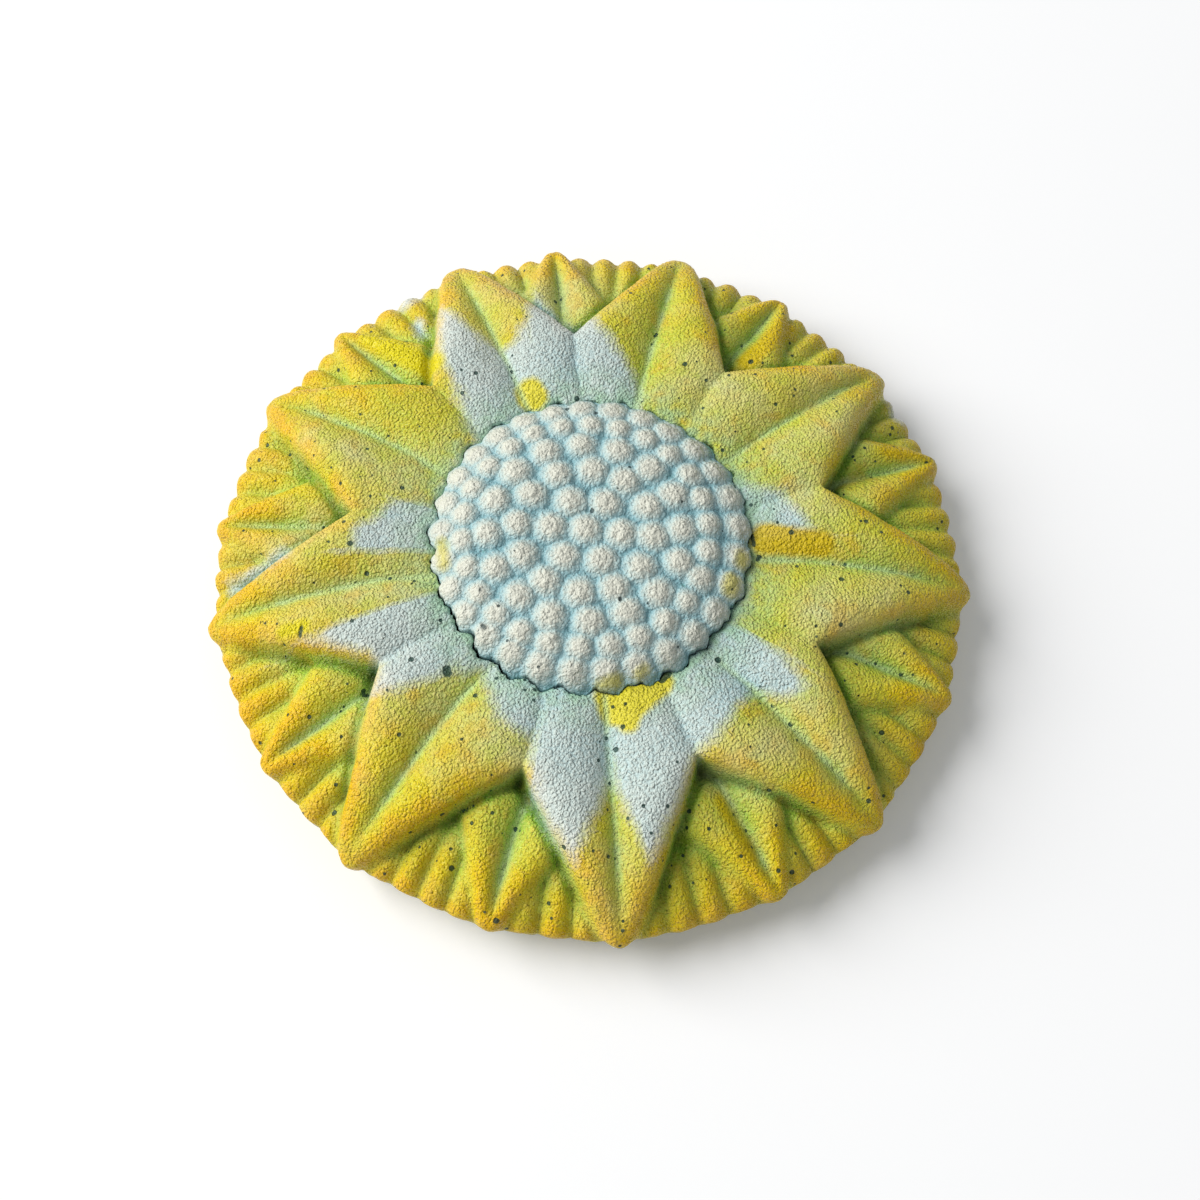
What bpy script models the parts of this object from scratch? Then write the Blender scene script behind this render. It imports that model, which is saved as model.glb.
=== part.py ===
"""Sunflower bath bomb: a pressed petal body and the domed seed disc set in its middle.

The petal body carries nine big grooved petals over nine smaller ones, over a fluted rim,
and rests on a flat back. The seed disc is a plug of lighter mix with ninety round seeds,
seated in a socket with a thin crack left all round it. Origin: middle of the flat back, +Z up.
"""

import math

import bpy
import numpy as np
from mathutils import Vector
from mathutils.geometry import delaunay_2d_cdt

# ---- Size, metres -------------------------------------------------------------------
RADIUS = 0.040  # to the tips of the big petals
GAP = 0.0003  # crack between the seed disc and the petal body

# ---- Everything below is a share of RADIUS unless it says degrees or a count --------
PETALS = 9
RIBS = 81
FIRST_PETAL_DEG = 277.6  # direction of petal 0, nearest the front
SMALL_PETAL_TWIST_DEG = 2.3  # small petals sit this far round from the notches
SECTOR_DEG = 360.0 / PETALS
HALF_DEG = SECTOR_DEG / 2

RIM_Z = 0.130  # height of the widest ring over the flat back
RIM_R = 0.981
RIM_FLUTE = 0.008  # depth of the flutes in the outline
BASE_R = 0.870  # flat back
FLANK_RINGS = ((0.45, 0.62), (0.80, 0.24), (1.0, 0.0))  # share inward, share of height

NOTCH_R = 0.620  # where two big petals meet
TIP_R = 1.004
BIG_EDGE_START = (
    NOTCH_R * math.cos(math.radians(HALF_DEG)),
    NOTCH_R * math.sin(math.radians(HALF_DEG)),
)
TIP_HALF_DEG = 2.4  # half-width of the bulge a petal tip makes in the rim
BIG_EDGE_END = (0.985, 0.030)  # the straight petal edge runs from the notch to here
SMALL_MEET = (0.760, 0.128)  # small petal edge leaves the big petal's cliff here
SMALL_EDGE_END = (0.980, 0.022)
SMALL_TIP_R = 0.990
SMALL_HALF_DEG = 12.0  # widest half-angle of a small petal
CLIFF = 0.018  # width in plan of the step at a petal's edge

PETAL_ROOT_R = 0.46  # the grooves start this far out
CREST_AT = 0.66  # place of a lobe's crest, groove 0 to edge 1
LOBE_ROUND = 2.3  # fullness of a lobe between groove and crest
SHOULDER_DROP = 0.42  # how far a lobe falls from crest to edge, in groove depths
BIG_CREST_R = 0.62  # the petals stand tallest here
BIG_CREST_Z = 0.162
BIG_RISE = 0.50  # how fast a petal's back rises from the disc
BIG_FALL = 0.93  # and falls towards the rim
BIG_GROOVE = 0.041
BIG_GROOVE_SPAN = (0.68, 0.30)  # deepest at this radius, gone this far either side
SMALL_CREST_R = 0.64
SMALL_CREST_Z = 0.108
SMALL_FALL = 0.62
SMALL_GROOVE = 0.040
SMALL_GROOVE_SPAN = (0.80, 0.19)
GROOVE_LEFT = (0.05, 0.08)  # share of depth left beyond the span, big and small
RIB_LEVEL = 0.050
NOTCH_DROP = 0.040  # the ground lies this much deeper in the corner under a notch
NOTCH_DROP_SPAN = 0.065
RIB_FALL = 0.95
RIB_START_R = 0.76
RIB_HEIGHT = (0.012, 0.026)  # at the petals' foot and at the rim
RIM_ROUND = 0.060
RIM_DROP = 0.35  # the rounded rim drops this share of RIM_ROUND
RIM_STEEP = 0.98  # below 1, so that the rounded rim never stands quite upright

CRACK_R = 0.4135  # mean radius of the crack round the seed disc
CRACK_WEAVE = 0.0045
CRACK_DRIFT = 0.0015
CRACK_FLAT = (0.013, -27.0, 48.0)  # runs this much closer in, towards and round -27 degrees
SOCKET_Z = 0.055  # floor of the socket over the flat back
DISC_SHIFT = (-0.020, 0.002)  # the seeds sit a little off centre
DISC_TOP_Z = 0.190
DISC_DROP = 0.034
SEED_Z = 0.018
EDGE_SEED_PUSH = 0.025  # the outermost seeds spread to the crack on the +X side
EDGE_SEED_PUSH_DEG = 52.0
# count, ring radius, direction of the first seed in degrees, seed radius
SEED_RINGS = (
    (1, 0.000, 0.0, 0.048),
    (6, 0.091, 58.0, 0.047),
    (12, 0.173, 28.0, 0.046),
    (16, 0.248, 6.0, 0.044),
    (26, 0.316, 22.0, 0.036),
    (29, 0.371, 8.2, 0.038),
)

# Small errors of the hand-made mould, degrees, petal 0 first and going clockwise.
TIP_SHIFT = (0.1, -0.2, -2.0, -1.6, -0.5, 0.9, 1.6, 1.4, 1.0)
GROOVE_SHIFT = (-0.1, -1.4, -2.3, -1.9, -0.5, 0.7, 1.4, 1.4, 0.9)
SMALL_SHIFT = (-0.7, -1.0, -1.0, 0.0, 0.2, 0.1, 1.8, 1.2, 0.8)
NOTCH_SHIFT = (1.0, -1.2, -1.1, -0.7, 1.1, 1.4, 1.1, -0.6, -0.4)


def rib_wave(theta):
    """Rounded ribs with sharp valleys, 0 to 1."""
    f = ((theta - FIRST_PETAL_DEG) * RIBS / 360.0 + 0.5) % 1.0
    return 1 - (2 * f - 1) ** 2


def outer_radius(theta):
    """Edge of the top face: fluted rim, pushed out by the petal tips."""
    rim = RIM_R + RIM_FLUTE * (rib_wave(theta) - 0.75)
    big = np.exp(-((petal_angle(theta) / TIP_HALF_DEG) ** 2))
    small = np.exp(-((small_angle(theta) / TIP_HALF_DEG) ** 2))
    return rim + (TIP_R - RIM_R) * big + (SMALL_TIP_R - RIM_R) * small


def petal_angle(theta):
    """Degrees from the middle of the nearest big petal."""
    return (theta - FIRST_PETAL_DEG + HALF_DEG) % SECTOR_DEG - HALF_DEG


def small_angle(theta):
    """Degrees from the middle of the nearest small petal."""
    middle = FIRST_PETAL_DEG + HALF_DEG + SMALL_PETAL_TWIST_DEG
    return (theta - middle + HALF_DEG) % SECTOR_DEG - HALF_DEG


def edge_lines(start, end):
    """Unit direction and inward normal of a straight petal edge."""
    along = np.subtract(end, start) / np.hypot(*np.subtract(end, start))
    return along, np.array((along[1], -along[0]))


def inside_edge(radius, angle, start, end, tip):
    """Distance inside a petal's outline, negative outside it."""
    a = np.radians(np.abs(angle))
    _, normal = edge_lines(start, end)
    d = (radius * np.cos(a) - start[0]) * normal[0]
    d = d + (radius * np.sin(a) - start[1]) * normal[1]
    return np.minimum(d, tip - radius)


def edge_angle(radius, start, end, widest):
    """Half-angle of a petal at a radius, in degrees."""
    along, _ = edge_lines(start, end)
    b = start[0] * along[0] + start[1] * along[1]
    c = start[0] ** 2 + start[1] ** 2 - np.maximum(radius, np.hypot(*start)) ** 2
    k = -b + np.sqrt(np.maximum(b * b - c, 0.0))
    angle = np.degrees(np.arctan2(start[1] + k * along[1], start[0] + k * along[0]))
    return np.clip(angle, 1.0, widest)


def lobe(s):
    """Section of one lobe: sharp groove at 0, crest, rounded shoulder at 1."""
    rise = 1 - (1 - np.minimum(s, CREST_AT) / CREST_AT) ** LOBE_ROUND
    past = np.clip((s - CREST_AT) / (1 - CREST_AT), 0, 1.2)
    return rise - SHOULDER_DROP * past**2


def smooth(t):
    t = np.clip(t, 0, 1)
    return t * t * (3 - 2 * t)


def groove_share(radius, deepest, span, left):
    """Depth of a groove along its petal, 1 at its deepest."""
    return np.maximum(1 - ((radius - deepest) / span) ** 2, left)


def notch_dip(radius):
    """How much the ground is lowered towards the notches."""
    return NOTCH_DROP * np.exp(-(((radius - NOTCH_R) / NOTCH_DROP_SPAN) ** 2))


def big_z(radius, theta):
    """Height over the rim of a big petal: two lobes and the groove between them."""
    slope = np.where(radius < BIG_CREST_R, BIG_RISE, BIG_FALL)
    crest = BIG_CREST_Z - slope * (radius - BIG_CREST_R) ** 2
    depth = BIG_GROOVE * groove_share(radius, *BIG_GROOVE_SPAN, GROOVE_LEFT[0])
    wide = edge_angle(radius, BIG_EDGE_START, BIG_EDGE_END, HALF_DEG)
    return crest - depth + depth * lobe(np.abs(petal_angle(theta)) / wide)


def small_z(radius, theta):
    """Height over the rim of a small petal."""
    crest = SMALL_CREST_Z - SMALL_FALL * (radius - SMALL_CREST_R) ** 2
    crest = crest - notch_dip(radius)
    depth = SMALL_GROOVE * groove_share(radius, *SMALL_GROOVE_SPAN, GROOVE_LEFT[1])
    wide = edge_angle(radius, SMALL_MEET, SMALL_EDGE_END, SMALL_HALF_DEG)
    return crest - depth + depth * lobe(np.abs(small_angle(theta)) / wide)


def top_z(radius, theta):
    """Height over the rim of the petal relief."""
    grow = smooth((radius - RIB_START_R) / (RIM_R - RIB_START_R))
    height = RIB_HEIGHT[0] + (RIB_HEIGHT[1] - RIB_HEIGHT[0]) * grow
    low = RIB_LEVEL - RIB_FALL * (radius - RIB_START_R) ** 2
    low = low + height * (rib_wave(theta) - 0.6) - notch_dip(radius)
    in_small = inside_edge(
        radius, small_angle(theta), SMALL_MEET, SMALL_EDGE_END, SMALL_TIP_R
    )
    in_big = inside_edge(radius, petal_angle(theta), BIG_EDGE_START, BIG_EDGE_END, TIP_R)
    z = low + (small_z(radius, theta) - low) * smooth(1 + in_small / CLIFF)
    z = z + (big_z(radius, theta) - z) * smooth(1 + in_big / CLIFF)
    near_rim = np.clip((radius - outer_radius(theta)) / RIM_ROUND + 1, 0, 1)
    return z - RIM_ROUND * RIM_DROP * (1 - np.sqrt(1 - near_rim**2 * RIM_STEEP))


def hand_shift(radius, theta):
    """Turns points a little so that no two petals are quite alike."""
    knots, inner, outer = [], [], []
    for k in range(PETALS):
        middle = FIRST_PETAL_DEG - SECTOR_DEG * k
        knots += [middle, middle - HALF_DEG]
        inner += [GROOVE_SHIFT[k], NOTCH_SHIFT[k]]
        outer += [TIP_SHIFT[k], SMALL_SHIFT[k]]
    a = np.interp(theta, *periodic(knots, inner), period=360)
    b = np.interp(theta, *periodic(knots, outer), period=360)
    mix = smooth((radius - 0.45) / 0.45)
    return theta + smooth((radius - CRACK_R) / 0.15) * (a + (b - a) * mix)


def periodic(knots, values):
    order = np.argsort(np.mod(knots, 360))
    return np.mod(knots, 360)[order], np.array(values)[order]


def crack_radius(theta):
    """The crack weaves round the outermost seeds."""
    count, _, first, _ = SEED_RINGS[-1]
    weave = np.cos(count * np.radians(theta - first))
    drift = np.sin(np.radians(3 * theta + 40)) + np.sin(np.radians(7 * theta + 200))
    depth, towards, span = CRACK_FLAT
    flat = np.exp(-((((theta - towards) + 180) % 360 - 180) / span) ** 2)
    return CRACK_R - depth * flat + CRACK_WEAVE * weave + CRACK_DRIFT * drift


def edge_push(angle):
    """How far an outermost seed is spread outward, by its direction in radians."""
    turned = (math.degrees(angle) + 180) % 360 - 180
    return EDGE_SEED_PUSH * math.exp(-((turned / EDGE_SEED_PUSH_DEG) ** 2))


def seeds():
    """Middle and radius of every seed."""
    found = []
    for count, ring, first, size in SEED_RINGS:
        for k in range(count):
            a = math.radians(first + 360.0 * k / count)
            r = ring + edge_push(a) * (ring == SEED_RINGS[-1][1])
            x = DISC_SHIFT[0] + r * math.cos(a)
            y = DISC_SHIFT[1] + r * math.sin(a)
            found.append((x, y, size))
    return found


def disc_z(x, y):
    """Height over the rim of the seed disc."""
    r = np.hypot(x, y)
    z = DISC_TOP_Z - DISC_DROP * (r / SEED_RINGS[-1][1]) ** 5
    bump = np.zeros_like(z)
    for sx, sy, size in seeds():
        d = np.hypot(x - sx, y - sy) / size
        bump = np.maximum(bump, np.sqrt(np.maximum(1 - d * d, 0)))
    return z + SEED_Z * bump


# ---- Laying out the points ----------------------------------------------------------
CRACK_POINTS = 4 * SEED_RINGS[-1][0]
RIM_POINTS = 4 * RIBS
EDGE_POINTS = 8
RIB_RADII = (0.79, 0.83, 0.87, 0.905)
BIG_CREST_RADII = np.linspace(0.47, 0.88, 8)
SMALL_CREST_RADII = np.linspace(0.76, 0.88, 4)
BETWEEN_RADII = (0.47, 0.53, 0.59)  # from the disc to the notch between two petals
GROOVE_END_R = 0.93
SHOULDER_INSETS = (0.018, 0.048)  # rings on the rounded rim, inward of the outline
CLEAR = 0.006


def polar(radius, theta):
    a = math.radians(theta)
    return radius * math.cos(a), radius * math.sin(a)


class Plan:
    """Points and the lines the triangles have to follow, seen from above."""

    def __init__(self):
        self.points, self.lines = [], []

    def line(self, run, closed=False):
        first = len(self.points)
        self.points += [polar(r, t) for r, t in run]
        last = len(self.points) - 1
        self.lines += [(i, i + 1) for i in range(first, last)]
        if closed:
            self.lines.append((last, first))

    def triangles(self):
        found = delaunay_2d_cdt(
            [Vector(p) for p in self.points], self.lines, [], 0, 1e-5
        )
        return [tuple(p) for p in found[0]], [tuple(f) for f in found[2]]


def petal_lines(plan):
    """Grooves, crests and both edges of every petal."""
    for k in range(PETALS):
        mid = FIRST_PETAL_DEG - SECTOR_DEG * k
        small = mid - HALF_DEG + SMALL_PETAL_TWIST_DEG
        plan.line([(r, mid) for r in np.linspace(PETAL_ROOT_R, GROOVE_END_R, 8)])
        plan.line([(r, small) for r in np.linspace(0.70, GROOVE_END_R, 6)])
        plan.line([(r, mid - HALF_DEG) for r in BETWEEN_RADII])
        for side in (-1, 1):
            for share in (CREST_AT / 3, CREST_AT):
                for middle, edge, radii in (
                    (mid, (BIG_EDGE_START, BIG_EDGE_END, HALF_DEG), BIG_CREST_RADII),
                    (small, (SMALL_MEET, SMALL_EDGE_END, SMALL_HALF_DEG), SMALL_CREST_RADII),
                ):
                    run = [
                        (r, middle + side * share * float(edge_angle(r, *edge)))
                        for r in radii
                    ]
                    plan.line(run)
            big = (BIG_EDGE_START, BIG_EDGE_END, mid, side)
            plan.line(edge_run(*big, 0.002, 0.02, 0.88))
            plan.line(edge_run(*big, -CLIFF, 0.10, 0.84))
            little = (SMALL_MEET, SMALL_EDGE_END, small, side)
            plan.line(edge_run(*little, 0.002, 0.12, 0.78))


def edge_run(start, end, middle, side, offset, first, last):
    """Points along a straight petal edge, moved inward by an offset."""
    along, normal = edge_lines(start, end)
    length = math.hypot(end[0] - start[0], end[1] - start[1])
    run = []
    for share in np.linspace(first, last, EDGE_POINTS):
        x, y = np.add(start, along * length * share + normal * offset)
        angle = math.degrees(math.atan2(y, x))
        run.append((math.hypot(x, y), middle + side * angle))
    return run


def rib_lines(plan):
    """Crest and valley of each rib, where the rim shows between the petals."""
    step = 360.0 / RIBS / 2
    for k in range(2 * RIBS):
        theta = FIRST_PETAL_DEG + step * k
        run = [(r, theta) for r in RIB_RADII if on_ribs(r, theta)]
        if run:
            plan.line(run)


def on_ribs(radius, theta):
    """Whether a point lies clear of every petal and its cliff."""
    in_big = inside_edge(
        radius, petal_angle(theta), BIG_EDGE_START, BIG_EDGE_END, TIP_R
    )
    in_small = inside_edge(
        radius, small_angle(theta), SMALL_MEET, SMALL_EDGE_END, SMALL_TIP_R
    )
    return max(in_big, in_small) < -CLIFF - CLEAR


def ring(radius_of, count, start=0.0):
    return [
        (float(radius_of(start + 360.0 * k / count)), start + 360.0 * k / count)
        for k in range(count)
    ]


def make_object(name, verts, faces, material):
    mesh = bpy.data.meshes.new(name)
    mesh.from_pydata([Vector(v) * RADIUS for v in verts], [], faces)
    mesh.materials.append(material)
    mesh.validate()
    body = bpy.data.objects.new(name, mesh)
    bpy.context.collection.objects.link(body)
    for face in mesh.polygons:
        face.use_smooth = len(face.vertices) < 5
    return body


def weld_ring(verts, wanted):
    """Index of the top point lying on each wanted ring point."""
    found = np.array([v[:2] for v in verts])
    out = []
    for r, t in wanted:
        x, y = polar(r, t)
        out.append(int(np.argmin(np.hypot(found[:, 0] - x, found[:, 1] - y))))
    return out


def strip(lower, upper):
    """Quads between two rings of the same length, outward when lower is below."""
    n = len(lower)
    return [
        (lower[i], lower[(i + 1) % n], upper[(i + 1) % n], upper[i]) for i in range(n)
    ]


def build_petal_body(material):
    half_gap = GAP / RADIUS / 2
    inner = ring(lambda t: crack_radius(t) + half_gap, CRACK_POINTS)
    outer = ring(outer_radius, RIM_POINTS, FIRST_PETAL_DEG)
    plan = Plan()
    plan.line(inner, closed=True)
    plan.line(outer, closed=True)
    for inset in SHOULDER_INSETS:
        near = ring(lambda t: outer_radius(t) - inset, RIM_POINTS, FIRST_PETAL_DEG)
        plan.line(near, closed=True)
    petal_lines(plan)
    rib_lines(plan)
    flat, tris = plan.triangles()

    x, y = np.array(flat).T
    r, theta = np.hypot(x, y), np.degrees(np.arctan2(y, x))
    middle = np.array([[np.mean(x[list(f)]), np.mean(y[list(f)])] for f in tris])
    mr = np.hypot(*middle.T)
    mt = np.degrees(np.arctan2(middle[:, 1], middle[:, 0]))
    keep = (mr > crack_radius(mt) + half_gap) & (mr < outer_radius(mt))
    tris = [f for f, ok in zip(tris, keep) if ok]
    z = RIM_Z + top_z(r, theta)
    turned = np.radians(hand_shift(r, theta))
    verts = list(zip(r * np.cos(turned), r * np.sin(turned), z))

    inner_ids = weld_ring(flat, inner)
    outer_ids = weld_ring(flat, outer)
    faces = tris + flank(verts, outer_ids) + socket(verts, inner_ids, flat)
    return make_object("petal_body", *drop_loose(verts, faces), material)


def flank(verts, outer_ids):
    """The fluted side, curling in under the rim to the flat back."""
    top = outer_ids
    faces = []
    for q, height in FLANK_RINGS:
        inward = 1 - math.sqrt(1 - q * q * RIM_STEEP)
        ids = []
        for i in outer_ids:
            x, y, z = verts[i]
            r = math.hypot(x, y)
            new = r + (BASE_R - r) * inward
            ids.append(len(verts))
            verts.append((x * new / r, y * new / r, z * height))
        faces += strip(ids, top)
        top = ids
    return faces + [tuple(reversed(top))]


def socket(verts, inner_ids, flat):
    """Blind socket for the seed disc."""
    floor = []
    for i in inner_ids:
        floor.append(len(verts))
        verts.append((verts[i][0], verts[i][1], SOCKET_Z))
    return strip(inner_ids, floor) + [tuple(floor)]


def drop_loose(verts, faces):
    used = sorted({i for f in faces for i in f})
    place = {old: new for new, old in enumerate(used)}
    return [verts[i] for i in used], [tuple(place[i] for i in f) for f in faces]


def build_seed_disc(material):
    gap = GAP / RADIUS
    edge = ring(lambda t: crack_radius(t) - gap / 2, CRACK_POINTS)
    plan = Plan()
    plan.line(edge, closed=True)
    for sx, sy, size in seeds():
        plan.points.append((sx, sy))
        for share, count in ((0.62, 6), (0.99, 7)):
            for k in range(count):
                a = 2 * math.pi * (k + share) / count
                x = sx + share * size * math.cos(a)
                y = sy + share * size * math.sin(a)
                limit = crack_radius(math.degrees(math.atan2(y, x))) - gap
                if math.hypot(x, y) < limit - 0.006:
                    plan.points.append((x, y))
    flat, tris = plan.triangles()
    x, y = np.array(flat).T
    middle = np.array([[np.mean(x[list(f)]), np.mean(y[list(f)])] for f in tris])
    mt = np.degrees(np.arctan2(middle[:, 1], middle[:, 0]))
    keep = np.hypot(*middle.T) < crack_radius(mt) - gap / 2
    tris = [f for f, ok in zip(tris, keep) if ok]
    verts = list(zip(x, y, RIM_Z + disc_z(x, y)))
    rim = weld_ring(flat, edge)
    foot = []
    for i in rim:
        foot.append(len(verts))
        verts.append((verts[i][0], verts[i][1], SOCKET_Z + gap))
    faces = tris + strip(foot, rim) + [tuple(reversed(foot))]
    return make_object("seed_disc", *drop_loose(verts, faces), material)


def make_material(name, colour):
    material = bpy.data.materials.new(name)
    material.use_nodes = True
    shader = material.node_tree.nodes["Principled BSDF"]
    shader.inputs["Base Color"].default_value = (*colour, 1.0)
    shader.inputs["Roughness"].default_value = 0.85
    return material


def main():
    for old in list(bpy.data.objects):
        bpy.data.objects.remove(old, do_unlink=True)
    build_petal_body(make_material("petal_powder", (0.78, 0.60, 0.12)))
    build_seed_disc(make_material("disc_powder", (0.72, 0.76, 0.75)))


main()
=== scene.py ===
"""Looks for the sunflower bath bomb: powder petals and seed disc, floor, light and camera."""

import math

import bpy
import numpy as np
from mathutils import Matrix, Vector, noise


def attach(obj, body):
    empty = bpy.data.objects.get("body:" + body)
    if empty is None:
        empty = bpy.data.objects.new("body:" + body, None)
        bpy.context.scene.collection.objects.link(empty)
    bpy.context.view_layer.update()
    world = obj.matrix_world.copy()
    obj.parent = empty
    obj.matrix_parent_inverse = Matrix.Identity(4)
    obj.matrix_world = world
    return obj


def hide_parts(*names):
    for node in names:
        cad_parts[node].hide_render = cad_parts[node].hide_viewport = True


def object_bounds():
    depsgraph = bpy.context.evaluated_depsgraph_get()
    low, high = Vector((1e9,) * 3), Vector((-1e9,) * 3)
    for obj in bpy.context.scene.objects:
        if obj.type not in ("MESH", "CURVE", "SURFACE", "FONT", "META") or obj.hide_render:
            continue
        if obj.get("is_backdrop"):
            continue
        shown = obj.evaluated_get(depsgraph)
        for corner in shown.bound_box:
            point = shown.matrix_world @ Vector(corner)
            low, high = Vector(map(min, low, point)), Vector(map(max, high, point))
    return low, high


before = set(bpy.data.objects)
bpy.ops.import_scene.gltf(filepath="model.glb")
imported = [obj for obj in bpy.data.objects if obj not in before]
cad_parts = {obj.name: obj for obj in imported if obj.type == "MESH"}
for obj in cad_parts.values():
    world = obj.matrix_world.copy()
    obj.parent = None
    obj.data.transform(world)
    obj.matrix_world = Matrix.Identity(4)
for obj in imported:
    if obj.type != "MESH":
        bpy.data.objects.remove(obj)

CAD_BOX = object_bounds()

# ---- Size and mould pattern: lengths are shares of RADIUS, angles are degrees -------
RADIUS = 0.040
PETALS = 9
RIBS = 81
FIRST_PETAL_DEG = 277.6
SMALL_PETAL_TWIST_DEG = 2.3
SECTOR_DEG = 360.0 / PETALS
HALF_DEG = SECTOR_DEG / 2
RIM_Z = 0.130
RIM_R = 0.981
RIM_FLUTE = 0.008
TIP_HALF_DEG = 2.4  # half-width of the bulge a big petal's tip makes in the rim
SMALL_TIP_HALF_DEG = 2.2
BASE_R = 0.870  # the flank curls in towards this radius
FLANK_STEEP = 0.96  # below 1, so that the flank does not end quite level
NOTCH_R = 0.620
TIP_R = 1.004
BIG_START = (
    NOTCH_R * math.cos(math.radians(HALF_DEG)),
    NOTCH_R * math.sin(math.radians(HALF_DEG)),
)
BIG_END = (0.985, 0.030)
SMALL_START = (0.760, 0.128)
SMALL_END = (0.980, 0.022)
SMALL_TIP_R = 0.994
SMALL_HALF_DEG = 12.0
CLIFF = 0.018  # width in plan of the step at a petal's edge
TRENCH = 0.010  # fine hollow along the foot of the big petals
BIG_CREST_AT = 0.66  # place of a lobe's crest, groove 0 to edge 1
SMALL_CREST_AT = 0.64
LOBE_ROUND = 2.3
SHOULDER_DROP = 0.42
BIG_CREST_Z = 0.162
BIG_GROOVE = 0.041
BIG_GROOVE_SPAN = (0.68, 0.30, 0.05)  # deepest at, gone this far either side, share left
BIG_RISE = 0.50
BIG_FALL = 0.93
BIG_CREST_R = 0.62
SMALL_CREST_Z = 0.108
SMALL_CREST_R = 0.64
SMALL_FALL = 0.62
SMALL_GROOVE = 0.040
SMALL_GROOVE_SPAN = (0.80, 0.19, 0.08)
RIB_LEVEL = 0.050
RIB_FALL = 0.95
RIB_START_R = 0.76
RIB_HEIGHT = (0.012, 0.026)  # at the petals' foot and at the rim
NOTCH_DROP = 0.040  # how much deeper the ground lies in the corner under each notch
NOTCH_DROP_SPAN = 0.065
RIM_ROUND = 0.060
RIM_DROP = 0.35  # the rounded rim drops this share of RIM_ROUND
RIM_STEEP = 0.98
CRACK_R = 0.4135  # mean radius of the crack round the seed disc
CRACK_FLAT = (0.013, -27.0, 48.0)  # how much closer in, at which angle, how wide
CRACK_LIP = (0.004, 0.006)  # depth and width of the worn edge beside the crack
SOCKET_Z = 0.058
DISC_SHIFT = (-0.020, 0.002)
DISC_TOP_Z = 0.190
DISC_DROP = 0.034
EDGE_SEED_PUSH = 0.025  # the outermost seeds spread to the crack on the +X side
EDGE_SEED_PUSH_DEG = 52.0
SEED_WOBBLE = 0.004
SEED_Z = 0.018
SEED_RINGS = (  # count, ring radius, direction of the first seed, seed radius
    (1, 0.000, 0.0, 0.058),
    (6, 0.091, 58.0, 0.057),
    (12, 0.173, 28.0, 0.056),
    (16, 0.248, 6.0, 0.055),
    (26, 0.316, 22.0, 0.048),
    (29, 0.371, 8.2, 0.054),
)
# Small errors of the hand-made mould, degrees, petal 0 first and going clockwise.
TIP_SHIFT = (0.1, -0.2, -2.0, -1.6, -0.5, 0.9, 1.6, 1.4, 1.0)
GROOVE_SHIFT = (-0.1, -1.4, -2.3, -1.9, -0.5, 0.7, 1.4, 1.4, 0.9)
SMALL_SHIFT = (-0.7, -1.0, -1.0, 0.0, 0.2, 0.1, 1.8, 1.2, 0.8)
NOTCH_SHIFT = (1.0, -1.2, -1.1, -0.7, 1.1, 1.4, 1.1, -0.6, -0.4)

# ---- Mesh rows and columns ----------------------------------------------------------
COLUMNS = 720
TOP_ROWS = 112
FLANK_ROWS = 10
DISC_COLUMNS = 540
DISC_ROWS = 140


# ---- Mould pattern ------------------------------------------------------------------
def smooth(t):
    t = np.clip(t, 0, 1)
    return t * t * (3 - 2 * t)


def around(theta, middle):
    """Degrees from the nearest of the nine middles."""
    return (theta - middle + HALF_DEG) % SECTOR_DEG - HALF_DEG


def big_angle(theta):
    return around(theta, FIRST_PETAL_DEG)


def small_angle(theta):
    return around(theta, FIRST_PETAL_DEG + HALF_DEG + SMALL_PETAL_TWIST_DEG)


def rib_wave(theta):
    """Rounded ribs with sharp valleys, 0 to 1."""
    f = ((theta - FIRST_PETAL_DEG) * RIBS / 360.0 + 0.5) % 1.0
    return 1 - (2 * f - 1) ** 2


def outer_radius(theta):
    """Edge of the top face: fluted rim, pushed out by the petal tips."""
    rim = RIM_R + RIM_FLUTE * (rib_wave(theta) - 0.75)
    big = np.exp(-((big_angle(theta) / TIP_HALF_DEG) ** 2))
    small = np.exp(-((small_angle(theta) / SMALL_TIP_HALF_DEG) ** 2))
    return rim + (TIP_R - RIM_R) * big + (SMALL_TIP_R - RIM_R) * small


def edge_frame(start, end):
    """Unit direction and inward normal of a straight petal edge."""
    along = np.subtract(end, start) / np.hypot(*np.subtract(end, start))
    return along, np.array((along[1], -along[0]))


def inside_edge(radius, angle, start, end, tip):
    """Distance inside a petal's straight-sided outline, negative outside it."""
    a = np.radians(np.abs(angle))
    _, normal = edge_frame(start, end)
    d = (radius * np.cos(a) - start[0]) * normal[0]
    d = d + (radius * np.sin(a) - start[1]) * normal[1]
    return np.minimum(d, tip - radius)


def edge_angle(radius, start, end, widest):
    """Half-angle of a petal at a radius, in degrees."""
    along, _ = edge_frame(start, end)
    b = start[0] * along[0] + start[1] * along[1]
    c = start[0] ** 2 + start[1] ** 2 - np.maximum(radius, np.hypot(*start)) ** 2
    k = -b + np.sqrt(np.maximum(b * b - c, 0.0))
    angle = np.degrees(np.arctan2(start[1] + k * along[1], start[0] + k * along[0]))
    return np.clip(angle, 1.0, widest)


def lobe(s, crest_at):
    """Section of one lobe: sharp groove at 0, crest, rounded shoulder at 1."""
    rise = 1 - (1 - np.minimum(s, crest_at) / crest_at) ** LOBE_ROUND
    past = np.clip((s - crest_at) / (1 - crest_at), 0, 1.2)
    return rise - SHOULDER_DROP * past**2


def groove_share(radius, deepest, span, left):
    """Depth of a groove along its petal, 1 at its deepest."""
    return np.maximum(1 - ((radius - deepest) / span) ** 2, left)


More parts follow.
